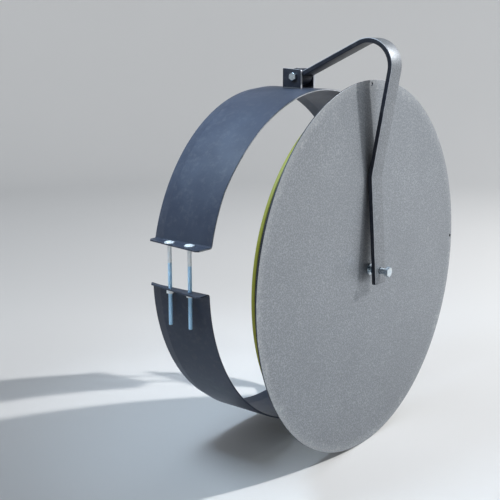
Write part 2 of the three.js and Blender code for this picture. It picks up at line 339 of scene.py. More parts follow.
def math_node(tree, operation, a, b=None, clamp=False):
    node = tree.nodes.new("ShaderNodeMath")
    node.operation = operation
    node.use_clamp = clamp
    for socket, value in zip(node.inputs, (a, b)):
        if isinstance(value, bpy.types.NodeSocket):
            tree.links.new(value, socket)
        elif value is not None:
            socket.default_value = value
    return node.outputs[0]


def stretch(tree, place, scale, turn=(0, 0, 0)):
    node = tree.nodes.new("ShaderNodeMapping")
    node.inputs["Scale"].default_value = scale
    node.inputs["Rotation"].default_value = turn
    tree.links.new(place, node.inputs["Vector"])
    return node.outputs["Vector"]


def bump(tree, shader, height, strength, distance):
    node = tree.nodes.new("ShaderNodeBump")
    node.inputs["Strength"].default_value = strength
    node.inputs["Distance"].default_value = distance
    tree.links.new(height, node.inputs["Height"])
    tree.links.new(node.outputs["Normal"], shader.inputs["Normal"])


def scratches(tree, place, turn, scale, width):
    """A mask of thin straggling lines, 1 on a scratch."""
    along = stretch(tree, place, scale, turn)
    lines = noise(tree, along, 1.0, detail=2.0, roughness=0.4, distortion=0.35)
    off = math_node(tree, "ABSOLUTE", math_node(tree, "SUBTRACT", lines, 0.5))
    return math_node(tree, "SUBTRACT", 1.0, math_node(tree, "DIVIDE", off, width, clamp=True), clamp=True)


def rim_wear_and_edge_highlight(tree, place):
    """A mask of marks on the disc: a faint pale band close to its rim, partly a rubbed band and partly a
    painted highlight along the rim's edge, with pale nicks of wear in it.
    """
    flat = tree.nodes.new("ShaderNodeMapping")
    flat.inputs["Location"].default_value = (0, 0, -DISC_CENTRE.z)
    flat.inputs["Scale"].default_value = (1, 0, 1)
    tree.links.new(place, flat.inputs["Vector"])
    length = tree.nodes.new("ShaderNodeVectorMath")
    length.operation = "LENGTH"
    tree.links.new(flat.outputs["Vector"], length.inputs[0])
    reach = math_node(tree, "DIVIDE", length.outputs["Value"], size("flap_disc").x / 2)
    rub_and_edge_highlight = ramp(tree, reach, [(0.95, 0.0), (0.99, 0.2)])
    nicks = ramp(tree, noise(tree, place, 55, detail=3.0), [(0.56, 0.0), (0.66, 1.0)])
    nicked = math_node(tree, "MULTIPLY", nicks, ramp(tree, reach, [(0.93, 0.0), (0.99, 0.55)]))
    return math_node(tree, "MAXIMUM", rub_and_edge_highlight, nicked)


SPECKLES = [(0.168, 0.184, 0.203), (0.225, 0.244, 0.267), (0.325, 0.347, 0.375)]
CLOUDING = (0.19, 0.206, 0.226)


def speckled_grey(name, tone, worn_rim_and_edge_highlight):
    """Dull grey surface with a fine light and dark grain, soft clouding and pale scratches. Its colours
    are multiplied by tone."""
    toned = [tuple(tone * channel for channel in colour) for colour in (*SPECKLES, CLOUDING)]
    dark, middle, light, cloud = toned
    material, tree, shader, place = node_material(name)
    fine = noise(tree, place, 420, detail=3.0, roughness=0.7)
    cells = tree.nodes.new("ShaderNodeTexVoronoi")
    cells.inputs["Scale"].default_value = 260
    tree.links.new(place, cells.inputs["Vector"])
    cell_grey = math_node(tree, "MULTIPLY", cells.outputs["Distance"], 0.55)
    grain = math_node(tree, "ADD", math_node(tree, "MULTIPLY", fine, 0.75), cell_grey)
    base = ramp(tree, grain, [(0.3, dark), (0.58, middle), (0.86, light)])
    clouds = noise(tree, place, 7, detail=5.0, roughness=0.6)
    clouded = mix(tree, ramp(tree, clouds, [(0.35, 0.0), (0.7, 0.3)]), base, cloud)
    long_marks = scratches(tree, place, (0.0, 0.35, 0.0), (55, 55, 3.0), 0.006)
    cross_marks = scratches(tree, place, (0.0, -0.9, 0.0), (48, 48, 2.4), 0.004)
    patch = ramp(tree, noise(tree, place, 4.2, detail=2.0), [(0.58, 0.0), (0.68, 1.0)])
    marks = math_node(tree, "MULTIPLY", math_node(tree, "MAXIMUM", long_marks, cross_marks), patch)
    marked = mix(tree, math_node(tree, "MULTIPLY", marks, 0.42), clouded, (0.5, 0.51, 0.52))
    # A pale band at the rim: partly wear, partly a painted highlight along the rim's edge.
    if worn_rim_and_edge_highlight:
        marked = mix(tree, rim_wear_and_edge_highlight(tree, place), marked, (0.5, 0.52, 0.54))
    tree.links.new(marked, shader.inputs["Base Color"])
    rough = ramp(tree, grain, [(0.3, 0.58), (0.8, 0.46)])
    tree.links.new(rough, shader.inputs["Roughness"])
    shader.inputs["Metallic"].default_value = 0.8
    bump(tree, shader, grain, 0.25, 0.0006)
    return material


def dark_paint(name, base, lift, rough=(0.34, 0.5)):
    """Dark satin paint: faint orange peel, dust in soft patches and rubbed streaks."""
    material, tree, shader, place = node_material(name)
    clouds = noise(tree, place, 9, detail=6.0, roughness=0.62)
    dust = noise(tree, place, 60, detail=5.0, roughness=0.7)
    streaks = noise(tree, stretch(tree, place, (6, 90, 6)), 1.0, detail=4.0)
    shaded = mix(tree, ramp(tree, clouds, [(0.35, 0.0), (0.75, 1.0)]), base, lift)
    dusty = mix(tree, ramp(tree, dust, [(0.5, 0.0), (0.8, 0.13)]), shaded, (0.32, 0.32, 0.31))
    rubbed = mix(tree, ramp(tree, streaks, [(0.58, 0.0), (0.8, 0.25)]), dusty, lift)
    tree.links.new(rubbed, shader.inputs["Base Color"])
    tree.links.new(ramp(tree, clouds, [(0.3, rough[0]), (0.75, rough[1])]), shader.inputs["Roughness"])
    peel = noise(tree, place, 520, detail=2.0)
    shader.inputs["Specular IOR Level"].default_value = 0.3
    bump(tree, shader, peel, 0.12, 0.0004)
    return material


def zinc_plate(name, tints, rough, metallic):
    """Zinc plating with a cloudy passivated sheen, from three tints."""
    material, tree, shader, place = node_material(name)
    clouds = noise(tree, place, 120, detail=4.0)
    fine = noise(tree, place, 900, detail=2.0)
    colour = ramp(tree, clouds, list(zip((0.3, 0.55, 0.8), tints)))
    tree.links.new(colour, shader.inputs["Base Color"])
    tree.links.new(ramp(tree, fine, [(0.3, rough), (0.8, rough + 0.16)]), shader.inputs["Roughness"])
    shader.inputs["Metallic"].default_value = metallic
    bump(tree, shader, fine, 0.08, 0.0002)
    return material


def bare_edge():
    """Cut edge of a plate, with thin paint rubbed through to pale metal."""
    material, tree, shader, place = node_material("bare_edge")
    patches = noise(tree, place, 60, detail=5.0, roughness=0.65)
    grain = noise(tree, place, 800, detail=2.0)
    stops = [(0.3, (0.3, 0.32, 0.36)), (0.6, (0.5, 0.52, 0.56)), (0.8, (0.6, 0.61, 0.63))]
    colour = ramp(tree, patches, stops)
    tree.links.new(colour, shader.inputs["Base Color"])
    tree.links.new(ramp(tree, grain, [(0.3, 0.35), (0.8, 0.55)]), shader.inputs["Roughness"])
    shader.inputs["Metallic"].default_value = 0.3
    bump(tree, shader, grain, 0.12, 0.0003)
    return material


def rubber(name, base, worn, mark, rough=0.62):
    """Matt rubber with a faint grain, scuffs and a chalky bloom."""
    material, tree, shader, place = node_material(name)
    bloom = noise(tree, place, 16, detail=5.0, roughness=0.65)
    grain = noise(tree, place, 700, detail=2.0)
    scuffs = noise(tree, stretch(tree, place, (70, 240, 70)), 1.0, detail=3.0)
    colour = mix(tree, ramp(tree, bloom, [(0.4, 0.0), (0.75, 0.6)]), base, worn)
    colour = mix(tree, ramp(tree, scuffs, [(0.6, 0.0), (0.75, 0.35)]), colour, mark)
    tree.links.new(colour, shader.inputs["Base Color"])
    tree.links.new(ramp(tree, bloom, [(0.3, rough - 0.1), (0.8, rough + 0.18)]), shader.inputs["Roughness"])
    bump(tree, shader, grain, 0.15, 0.0004)
    return material


# Painted shade: the arm's face is of the disc's speckled grey, and its tone of 0.86 against the disc's 1.03
# darkens it as shade would.
ARM_GREY_WITH_PAINTED_SHADE = speckled_grey("speckled_grey", tone=0.86, worn_rim_and_edge_highlight=False)
# The disc's grey carries the pale band at its rim, partly wear and partly a painted edge highlight.
DISC_WEAR_AND_PAINTED_EDGE_HIGHLIGHT = speckled_grey("disc_wear_and_painted_edge_highlight", tone=1.03, worn_rim_and_edge_highlight=True)
# Partly painted sky sheen: the saddles' dark paint is made lighter and bluer than the hinge's dark paint, for
# the sky it reflects.
SADDLE_PAINT_WITH_PAINTED_SKY_SHEEN = dark_paint("saddle_paint_with_painted_sky_sheen", (0.042, 0.052, 0.079), (0.058, 0.072, 0.104))
DARK_PAINT = dark_paint("dark_paint", (0.012, 0.015, 0.025), (0.022, 0.026, 0.038))
WELD = dark_paint("painted_weld", (0.022, 0.024, 0.032), (0.07, 0.072, 0.08), (0.28, 0.42))
ZINC = zinc_plate("zinc_plate", [(0.42, 0.5, 0.58), (0.56, 0.63, 0.68), (0.66, 0.7, 0.68)], 0.16, 0.95)
# Painted highlight: the zinc made near-white and more matt for the clamp bolts and nuts, lighter than the
# plating elsewhere.
ZINC_WITH_PAINTED_HIGHLIGHT = zinc_plate("zinc_with_painted_highlight", [(0.8, 0.89, 0.95), (0.9, 0.95, 0.98), (0.96, 0.98, 0.96)], 0.3, 0.12)
# Painted sky reflection: the zinc made light blue for the clamp bolts' threads.
ZINC_WITH_PAINTED_SKY_REFLECTION = zinc_plate("zinc_with_painted_sky_reflection", [(0.5, 0.76, 0.98), (0.58, 0.82, 1.0), (0.68, 0.88, 1.0)], 0.34, 0.2)
# Painted shadow: the zinc made dark blue for the jam nut that sits in the arm's shadow.
ZINC_WITH_PAINTED_SHADOW = zinc_plate("zinc_with_painted_shadow", [(0.16, 0.24, 0.36), (0.24, 0.34, 0.46), (0.34, 0.42, 0.5)], 0.18, 0.95)
BARE_EDGE = bare_edge()
BLACK_RUBBER = rubber("black_rubber", (0.012, 0.014, 0.018), (0.035, 0.037, 0.042), (0.06, 0.06, 0.062))
LIME_RUBBER = rubber("lime_rubber", (0.27, 0.275, 0.022), (0.34, 0.35, 0.07), (0.16, 0.165, 0.025), 0.6)
NYLON = rubber("nylon", (0.62, 0.66, 0.7), (0.72, 0.74, 0.75), (0.4, 0.42, 0.45), 0.5)

# ---------------------------------------------------------------- saddles

SHEET = 4 * MM
SHEET_EDGE = 0.7 * MM  # rounding of a cut edge
SADDLE_R = -low("lower_saddle").z - SHEET / 2  # middle of the sheet, from the pipe's axis
FLANGE_BEND = 6 * MM
LIP_LENGTH, LIP_DROP = 31 * MM, 6 * MM
LIP_BLEND = 5 * MM
FLANGE_CORNER = 8 * MM
SADDLE_FRONT = low("lower_saddle").y
SADDLE_REAR = high("lower_saddle").y
HOOD_REACH = SADDLE_FRONT - low("upper_saddle").y
HOOD_ANGLE = math.radians(60)
CROWN_FRONT, CROWN_REAR = 3.5 * MM, 8.5 * MM
CROWN_ANGLE = math.radians(70)
TIP_FRONT, TIP_REAR = 481 * MM, 450 * MM
CLAMP_NECK_HOLE = 10.8 * MM
CLAMP_ROUND_HOLE = 5.5 * MM


def smooth(value, low_end, high_end):
    share = np.clip((value - low_end) / (high_end - low_end), 0, 1)
    return share * share * (3 - 2 * share)


def saddle_radius(y):
    """Middle of the sheet at y: straight, then tapering inwards over the rear lip, with a soft crease."""
    crease = SADDLE_REAR - LIP_LENGTH
    reach = max(0.0, y - crease)
    eased = reach * smooth(reach, -LIP_BLEND, LIP_BLEND)
    return SADDLE_R - LIP_DROP * eased / LIP_LENGTH


def crown(angle, y):
    """The upper saddle's extra radius, largest at its top."""
    share = np.minimum(np.abs(angle) / CROWN_ANGLE, 1)
    top = CROWN_FRONT + (CROWN_REAR - CROWN_FRONT) * (y - SADDLE_FRONT) / (SADDLE_REAR - SADDLE_FRONT)
    return top * np.cos(share * math.pi / 2) ** 2


def upper_saddle_top(x, y):
    """Height of the upper saddle's outer surface."""
    return math.sqrt((SADDLE_R + SHEET / 2 + crown(0.0, y)) ** 2 - x**2)


def half_section(radius, tip, flange_z):
    """Half of a section: (x, z, outward x, outward z, angle) from the top of the arch to the flange's tip."""
    start = math.acos((flange_z + FLANGE_BEND) / (radius + FLANGE_BEND))
    bend_x = (radius + FLANGE_BEND) * math.sin(start)
    rows = []
    for angle in np.linspace(0, start, 72):
        s, c = math.sin(angle), math.cos(angle)
        rows.append((radius * s, radius * c, s, c, angle))
    for angle in np.linspace(start, 0, 11)[1:]:
        s, c = math.sin(angle), math.cos(angle)
        rows.append((bend_x - FLANGE_BEND * s, flange_z + FLANGE_BEND - FLANGE_BEND * c, s, c, start))
    for share in (0.35, 0.7):
        rows.append((bend_x + (tip - bend_x) * share, flange_z, 0, 1, start))
    rows.append((tip - SHEET_EDGE, flange_z, 0, 1, start))
    rows.append((tip, flange_z, 0, 1, start))
    return np.array(rows)


def saddle_mesh(flange_z, is_upper):
    """The whole sheet as closed rings round its thickness, chamfered at every cut edge. A station is
    (distance from the front edge, how much the flange's tip is cut back, whether it is a cut edge)."""
    straight = np.linspace(0.03, 1.0, 5)[:-1]
    crease = SADDLE_REAR - LIP_LENGTH
    stations = [(0.0, FLANGE_CORNER, True), (SHEET_EDGE, FLANGE_CORNER - SHEET_EDGE, False)]
    stations += [(FLANGE_CORNER * share, FLANGE_CORNER * (1 - share), False) for share in (0.4, 0.7, 1.0)]
    run = crease - SADDLE_FRONT - LIP_BLEND - FLANGE_CORNER
    stations += [(FLANGE_CORNER + run * share, 0.0, False) for share in straight]
    stations += [(crease - SADDLE_FRONT + LIP_BLEND * share, 0.0, False) for share in (-1, -0.5, 0, 0.5, 1)]
    depth = SADDLE_REAR - SADDLE_FRONT
    stations += [(depth - FLANGE_CORNER * share, FLANGE_CORNER * (1 - share), False) for share in (1.0, 0.5)]
    stations += [(depth - SHEET_EDGE, FLANGE_CORNER - SHEET_EDGE, False), (depth, FLANGE_CORNER, True)]
    rings = []
    for along, trim, is_edge in stations:
        y_flat = SADDLE_FRONT + along
        tip = TIP_FRONT + (TIP_REAR - TIP_FRONT) * along / depth - trim
        half = half_section(saddle_radius(y_flat), tip, flange_z)
        left = half[:0:-1] * np.array([-1, 1, -1, 1, -1])
        section = np.vstack([left, half])
        y = np.full(len(section), y_flat)
        if is_upper:
            hood = 1 - np.minimum(np.abs(section[:, 4]) / HOOD_ANGLE, 1) ** 2
            y = y - HOOD_REACH * hood * max(0.0, 1 - along / (0.6 * depth))
            section[:, 0:2] += section[:, 2:4] * crown(section[:, 4], y)[:, None]
        thick = np.full(len(section), SHEET / 2 - (SHEET_EDGE if is_edge else 0))
        thick[[0, -1]] = SHEET / 2 - SHEET_EDGE
        if is_edge:
            thick[[0, -1]] = SHEET / 2 - 1.6 * SHEET_EDGE
        outer = np.stack([section[:, 0] + section[:, 2] * thick, y, section[:, 1] + section[:, 3] * thick], 1)
        inner = np.stack([section[:, 0] - section[:, 2] * thick, y, section[:, 1] - section[:, 3] * thick], 1)
        rings.append(np.vstack([outer, inner[::-1]]))
    points, faces = stack(rings)
    count = len(rings[0])
    for base in (0, (len(rings) - 1) * count):
        for j in range(count // 2 - 1):
            k = count - 1 - j
            faces.append((base + j, base + j + 1, base + k - 1, base + k))
    return points, faces


def drill(piece, cutters):
    """Takes closed cutter meshes, given as (points, faces), out of a piece."""
    mesh = bpy.data.meshes.new("cutter")
    points, faces, offset = [], [], 0
    for cut_points, cut_faces in cutters:
        points += [tuple(p) for p in cut_points]
        faces += [tuple(i + offset for i in face) for face in cut_faces]
        offset = len(points)
    mesh.from_pydata(points, [], faces)
    clean = bmesh.new()
    clean.from_mesh(mesh)
    bmesh.ops.recalc_face_normals(clean, faces=clean.faces)
    clean.to_mesh(mesh)
    clean.free()
    cutter = bpy.data.objects.new("cutter", mesh)
    bpy.context.scene.collection.objects.link(cutter)
    modifier = piece.modifiers.new("drill", "BOOLEAN")
    modifier.operation = "DIFFERENCE"
    modifier.solver = "EXACT"
    modifier.object = cutter
    graph = bpy.context.evaluated_depsgraph_get()
    cut_mesh = bpy.data.meshes.new_from_object(piece.evaluated_get(graph), depsgraph=graph)
    piece.modifiers.clear()
    old = piece.data
    cut_mesh.name = old.name
    piece.data = cut_mesh
    bpy.data.meshes.remove(old)
    bpy.data.objects.remove(cutter)
    shade(piece, SHARP)


CLAMPS = ["left_front", "left_rear", "right_front", "right_rear"]


def clamp_centre(where):
    node = f"clamp_bolt_{where}"
    return (low(node) + high(node)) / 2


def saddle(name, flange_z, cutters, is_upper):
    points, faces = saddle_mesh(abs(flange_z), is_upper)
    if not is_upper:
        points = points * np.array([-1, 1, -1])
    node = name[: -len("_sheet")]
    piece = finish_mesh(name, points, faces, [SADDLE_PAINT_WITH_PAINTED_SKY_SHEEN, BARE_EDGE], "saddle", [node])
    drill(piece, cutters)
    if is_upper:
        assign_face(piece, 1, lambda centre, normal: abs(normal.y) > 0.8)


def flange_holes(flange_z, radius):
    holes = []
    for where in CLAMPS:
        centre = clamp_centre(where)
        points, faces = plug(radius, flange_z - 2 * SHEET, flange_z + 2 * SHEET)
        holes.append((points + np.array([centre.x, centre.y, 0]), faces))
    return holes


UPPER_FLANGE_Z = low("upper_saddle").z + SHEET / 2
LOWER_FLANGE_Z = high("lower_saddle").z - SHEET / 2
saddle(
    "upper_saddle_sheet", UPPER_FLANGE_Z,
    flange_holes(UPPER_FLANGE_Z, square_radius(CLAMP_NECK_HOLE)), True,
)
saddle(
    "lower_saddle_sheet", LOWER_FLANGE_Z,
    flange_holes(LOWER_FLANGE_Z, CLAMP_ROUND_HOLE), False,
)

# ---------------------------------------------------------------- clamp bolts and nuts

CLAMP_R, CLAMP_PITCH, CLAMP_HEAD_H = 5 * MM, 1.5 * MM, 5.4 * MM
CLAMP_NECK, CLAMP_NECK_H = 10 * MM, 6 * MM
CLAMP_PLAIN = 47 * MM  # unthreaded length under the head
for where in CLAMPS:
    node = f"clamp_bolt_{where}"
    centre = clamp_centre(where)
    head = size(node).x / 2
    length = size(node).z - CLAMP_HEAD_H
    seat = high(node).z - CLAMP_HEAD_H
    rings = coach_head_rings(head, CLAMP_HEAD_H, CLAMP_NECK, CLAMP_NECK_H, CLAMP_R)
    points, faces = bolt_points(rings, -CLAMP_HEAD_H, CLAMP_R, CLAMP_PITCH, CLAMP_PLAIN, length)
    points = placed(points, (0, 0, -1), (centre.x, centre.y, seat))
    # Near-white painted highlight on the head, plain shank and nut. Light blue painted sky reflection on the
    # thread.
    plating = [ZINC_WITH_PAINTED_HIGHLIGHT, ZINC_WITH_PAINTED_SKY_REFLECTION]
    bolt = finish_mesh(f"coach_bolt_{where}", points, faces, plating, "saddle", [node])
    # The thread below the plain shank takes the light blue painted sky reflection.
    assign_face(bolt, 1, lambda centre, normal: centre.z < seat - CLAMP_PLAIN)
    node = f"clamp_nut_{where}"
    points, faces = nut_points(size(node).x, size(node).z, CLAMP_R + NUT_CLEARANCE)
    points = placed(points, (0, 0, -1), (centre.x, centre.y, high(node).z))
    finish_mesh(f"hex_nut_{where}", points, faces, [ZINC_WITH_PAINTED_HIGHLIGHT], "saddle", [node])

# ---------------------------------------------------------------- hinge

GAP = 0.3 * MM
EAR_CORNER = 2.5 * MM
EAR_EDGE = 0.8 * MM
EAR_DROP = 4 * MM  # from the rear top corner to the front one


def ear_outline(y0, y1, rear_top, foot, radius, inset):
    """An ear's outline with rounded top corners, drawn in (y, z) and shrunk by inset. Its top slopes down
    to the front, and foot(y) is its lower edge."""
    y0, y1, rear_top = y0 + inset, y1 - inset, rear_top - inset
    radius = max(radius - inset, 0.2 * MM)
    points = [(y0, foot(y0) + inset), (y1, foot(y1) + inset)]
    for centre_y, top, first in ((y1 - radius, rear_top, 0), (y0 + radius, rear_top - EAR_DROP, 90)):
        for degrees in range(first, first + 91, 15):
            angle = math.radians(degrees)
            points.append((centre_y + radius * math.cos(angle), top - radius + radius * math.sin(angle)))
    return points


def slab(outline_at, x0, x1, edge):
    """A plate between x0 and x1 from an outline function of inset, with eased edges."""
    levels = [(x0, edge), (x0 + edge * 0.3, edge * 0.3), (x0 + edge, 0.0)]
    levels += [(x1 - edge, 0.0), (x1 - edge * 0.3, edge * 0.3), (x1, edge)]
    rings = [[(x, y, z) for y, z in outline_at(inset)] for x, inset in levels]
    points, faces = stack(rings)
    count = len(rings[0])
    faces.append(tuple(range(count)))
    faces.append(tuple(range(len(points) - 1, len(points) - 1 - count, -1)))
    return points, faces


def cross_hole(radius, x0, x1):
    """A cutter across the hinge, on the pivot's axis."""
    points, faces = plug(radius, x0, x1)
    return placed(points, (1, 0, 0), (0, PIVOT.y, PIVOT.z)), faces


PIN_R, PIN_PITCH, PIN_HEAD_H, PIN_THREAD = 6 * MM, 1.75 * MM, 7.5 * MM, 30 * MM
for side in ("left", "right"):
    node = f"hinge_ear_{side}"
    lo, hi = low(node), high(node)
    inner_x = min(abs(lo.x), abs(hi.x))

    def foot(y):
        return upper_saddle_top(inner_x, y) + GAP

    points, faces = slab(
        lambda inset: ear_outline(lo.y, hi.y, hi.z, foot, EAR_CORNER, inset), lo.x, hi.x, EAR_EDGE
    )
    finishes = [DARK_PAINT, BARE_EDGE]
    piece = finish_mesh(f"ear_plate_{side}", points, faces, finishes, "saddle", [node])
    drill(piece, [cross_hole(PIN_R + PIN_CLEARANCE, lo.x - 10 * MM, hi.x + 10 * MM)])
    assign_face(piece, 1, lambda centre, normal: abs(normal.x) < 0.8)

pin = "pivot_bolt"
pin_length = size(pin).x - PIN_HEAD_H
rings = hex_head_rings(size(pin).y, PIN_HEAD_H, PIN_R)
points, faces = bolt_points(rings, -PIN_HEAD_H, PIN_R, PIN_PITCH, pin_length - PIN_THREAD, pin_length)
points = placed(points, (1, 0, 0), (low(pin).x + PIN_HEAD_H, PIVOT.y, PIVOT.z))
finish_mesh("hinge_bolt", points, faces, [ZINC], "saddle", [pin])

for name, node in (
    ("hinge_washer", "pivot_washer"),
    ("thrust_washer_left", "hub_washer_left"),
    ("thrust_washer_right", "hub_washer_right"),
):
    points, faces = washer_points(size(node).y / 2, PIN_R + PIN_CLEARANCE, size(node).x)
    points = placed(points, (1, 0, 0), (low(node).x, PIVOT.y, PIVOT.z))
    finish_mesh(name, points, faces, [ZINC], "saddle", [node])

points, faces = nut_points(size("pivot_nut").y, size("pivot_nut").x, PIN_R + NUT_CLEARANCE)
points = placed(points, (1, 0, 0), (low("pivot_nut").x, PIVOT.y, PIVOT.z))
finish_mesh("hinge_nut", points, faces, [ZINC], "saddle", ["pivot_nut"])

# ---------------------------------------------------------------- weld beads


RIPPLE = 2.4 * MM  # from one ripple of a bead to the next


def bead(name, path, radius, body, material, seed):
    """A closed weld bead along a path, with the ripples of its run and slightly uneven width."""
    path = np.array(path, float)
    steps = np.linalg.norm(np.diff(path, axis=0), axis=1)
    travel = np.concatenate([[0], np.cumsum(steps)])
    count = max(12, int(travel[-1] / (RIPPLE / 6)))
    at = np.linspace(0, travel[-1], count)
    centres = np.stack([np.interp(at, travel, path[:, i]) for i in range(3)], axis=1)
    tangents = np.gradient(centres, axis=0)
    tangents /= np.linalg.norm(tangents, axis=1)[:, None]
    shake = np.random.default_rng(seed)
    wander = np.interp(at, np.linspace(0, at[-1], 9), shake.normal(0, 0.06, 9))
    rings = []
    for i, (centre, tangent) in enumerate(zip(centres, tangents)):
        side = np.cross(tangent, (0.0, 0.0, 1.0))
        side = side / np.linalg.norm(side) if np.linalg.norm(side) > 0.1 else np.array((1.0, 0.0, 0.0))
        up = np.cross(side, tangent)
        end_taper = math.sqrt(min(1.0, (min(at[i], at[-1] - at[i]) + 0.1 * MM) / radius))
        swell = 1 + 0.1 * math.cos(2 * math.pi * at[i] / RIPPLE) + wander[i]
        r = radius * end_taper * swell
        angles = turn_angles(12)
        rings.append([centre + side * r * math.cos(a) + up * r * math.sin(a) for a in angles])
    points, faces = stack(rings, start=tuple(centres[0]), end=tuple(centres[-1]))
    finish_mesh(name, points, faces, [material], body, sharp=60)


EAR_BEAD = 2.6 * MM
BEAD_OUT = 0.5 * MM  # from a plate's corner to the middle of its bead
for side in ("left", "right"):
    lo, hi = low(f"hinge_ear_{side}"), high(f"hinge_ear_{side}")
    for place, x, nudge in (("a", lo.x, -BEAD_OUT), ("b", hi.x, BEAD_OUT)):
        path = []
        for y in (lo.y + 1 * MM, hi.y - 1 * MM):
            path.append((x + nudge, y, upper_saddle_top(x, y) + BEAD_OUT))
        bead(f"ear_weld_{side}_{place}", path, EAR_BEAD, "saddle", WELD, len(side) + ord(place))

# ---------------------------------------------------------------- arm

BAR_T = 12 * MM
BAR_EDGE = 1.4 * MM
ELBOW = Vector((0, -0.038, 0.5032))
ELBOW_R = 69 * MM - BAR_T / 2
RISE, LEAN, SPLAY = (math.radians(d) for d in (24.75, 9.75, 4.25))
KINK_Z = 0.2334
KINK_R = 40 * MM
HUB_R = size("arm_hub").y / 2
HUB_ROUND = 96  # samples round the hub
HUB_BEAD = 2.8 * MM
ARM_HOLE_R = 9 * MM  # for the disc's bolt


def arm_path():
    """The bar's middle line in (y, z), from the hinge to its lower end, with its outward normals."""
    path = []
    rise_out = np.array([math.sin(RISE), math.cos(RISE)])
    lean_out = np.array([-math.cos(LEAN), -math.sin(LEAN)])
    splay_out = np.array([-math.cos(SPLAY), math.sin(SPLAY)])
    centre = np.array([ELBOW.y, ELBOW.z])
    first = centre + ELBOW_R * rise_out
    reach = (PIVOT.y - first[0]) / math.cos(RISE)
    down_rise = np.array([math.cos(RISE), -math.sin(RISE)])
    for share in (1.0, 0.75, 0.5, 0.25):
        path.append((first + down_rise * reach * share, rise_out))
    start, stop = math.pi / 2 - RISE, math.pi + LEAN
    for angle in np.linspace(start, stop, 30):
        out = np.array([math.cos(angle), math.sin(angle)])
        path.append((centre + ELBOW_R * out, out))
    last = centre + ELBOW_R * lean_out
    lean_way = np.array([math.sin(LEAN), -math.cos(LEAN)])
    outer_last = centre + (ELBOW_R + BAR_T / 2) * lean_out
    kink_outer = outer_last + lean_way * (outer_last[1] - KINK_Z) / math.cos(LEAN)
    middle = (lean_out + splay_out) / 2
    kink = kink_outer - middle * (BAR_T / 2) / np.dot(middle, middle) * np.dot(middle, lean_out)
    splay_way = np.array([-math.sin(SPLAY), -math.cos(SPLAY)])
    tangent = KINK_R * math.tan((LEAN + SPLAY) / 2)
    for share in (0.25, 0.5, 0.75):
        path.append((last + (kink - last) * share, lean_out))
    turned = np.linspace(0, 1, 9)
    for share in turned:
        a, b = kink - lean_way * tangent, kink + splay_way * tangent
        point = (1 - share) ** 2 * a + 2 * share * (1 - share) * kink + share**2 * b
        out = lean_out * (1 - share) + splay_out * share
        path.append((point, out / np.linalg.norm(out)))
    lowest = low("flap_arm").z
    end = kink + splay_way * (kink[1] - lowest - BAR_T / 2 * math.sin(SPLAY)) / math.cos(SPLAY)
    for share in (0.3, 0.65, 1.0):
        path.append((kink + splay_way * tangent + (end - kink - splay_way * tangent) * share, splay_out))
    return path


def bar_section(half_width, half_thick, radius):
    """A rounded rectangle in (x, outward) order, going round once."""
    points = []
    for sx, so, first in ((1, 1, 0), (-1, 1, 90), (-1, -1, 180), (1, -1, 270)):
        for i in range(5):
            angle = math.radians(first + 90 * i / 4)
            x = sx * (half_width - radius) + radius * math.cos(angle)
            out = so * (half_thick - radius) + radius * math.sin(angle)
            points.append((x, out))
    return points


def arm_bar():
    half_width = size("flap_arm").x / 2
    path = arm_path()
    section = bar_section(half_width, BAR_T / 2, BAR_EDGE)
    small = bar_section(half_width - BAR_EDGE, BAR_T / 2 - BAR_EDGE, 0.3 * MM)
    rings = []
    for point, out in path:
        rings.append([(x, point[0] + out[0] * o, point[1] + out[1] * o) for x, o in section])
    point, out = path[-1]
    down = np.array([-out[1], out[0]])
    base = point - down * BAR_EDGE
    rings[-1] = [(x, base[0] + out[0] * o, base[1] + out[1] * o) for x, o in section]
    rings.append([(x, point[0] + out[0] * o, point[1] + out[1] * o) for x, o in small])
    points, faces = stack(rings)
    count = len(section)
    faces.append(tuple(range(count)))
    faces.append(tuple(range(len(points) - 1, len(points) - 1 - count, -1)))
    return points, faces, path


points, faces, ARM_PATH = arm_bar()
arm_finishes_with_painted_light = [DARK_PAINT, ARM_GREY_WITH_PAINTED_SHADE, BARE_EDGE]
arm = finish_mesh("arm_bar", points, faces, arm_finishes_with_painted_light, "arm", ["flap_arm"])
hub_cut, hub_faces = plug(HUB_R, -40 * MM, 40 * MM, 64)
hub_cut = placed(hub_cut, (1, 0, 0), (0, PIVOT.y, PIVOT.z))
bolt_cut, bolt_faces = plug(ARM_HOLE_R, -120 * MM, -55 * MM)
bolt_cut = placed(bolt_cut, (0, 1, 0), (0, 0, DISC_CENTRE.z))
drill(arm, [(hub_cut, hub_faces), (bolt_cut, bolt_faces)])


def outward(centre, normal):
    """How squarely a face of the bar looks outwards, away from the hinge and the disc: 1 is squarely."""
    distances = [(centre.y - p[0]) ** 2 + (centre.z - p[1]) ** 2 for p, _ in ARM_PATH]
    out = ARM_PATH[int(np.argmin(distances))][1]
    return normal.y * out[0] + normal.z * out[1]


# Painted light and shade on one bar: the faces turned squarely outwards take the speckled grey and the sides
# and inner face keep the dark paint, so the outer face reads lit and the sides shaded. The chamfers between
# them take the bare edge.
assign_face(arm, 2, lambda centre, normal: abs(normal.x) > 0.15 and 0.15 < outward(centre, normal) < 0.98)
assign_face(arm, 1, lambda centre, normal: outward(centre, normal) > 0.98)

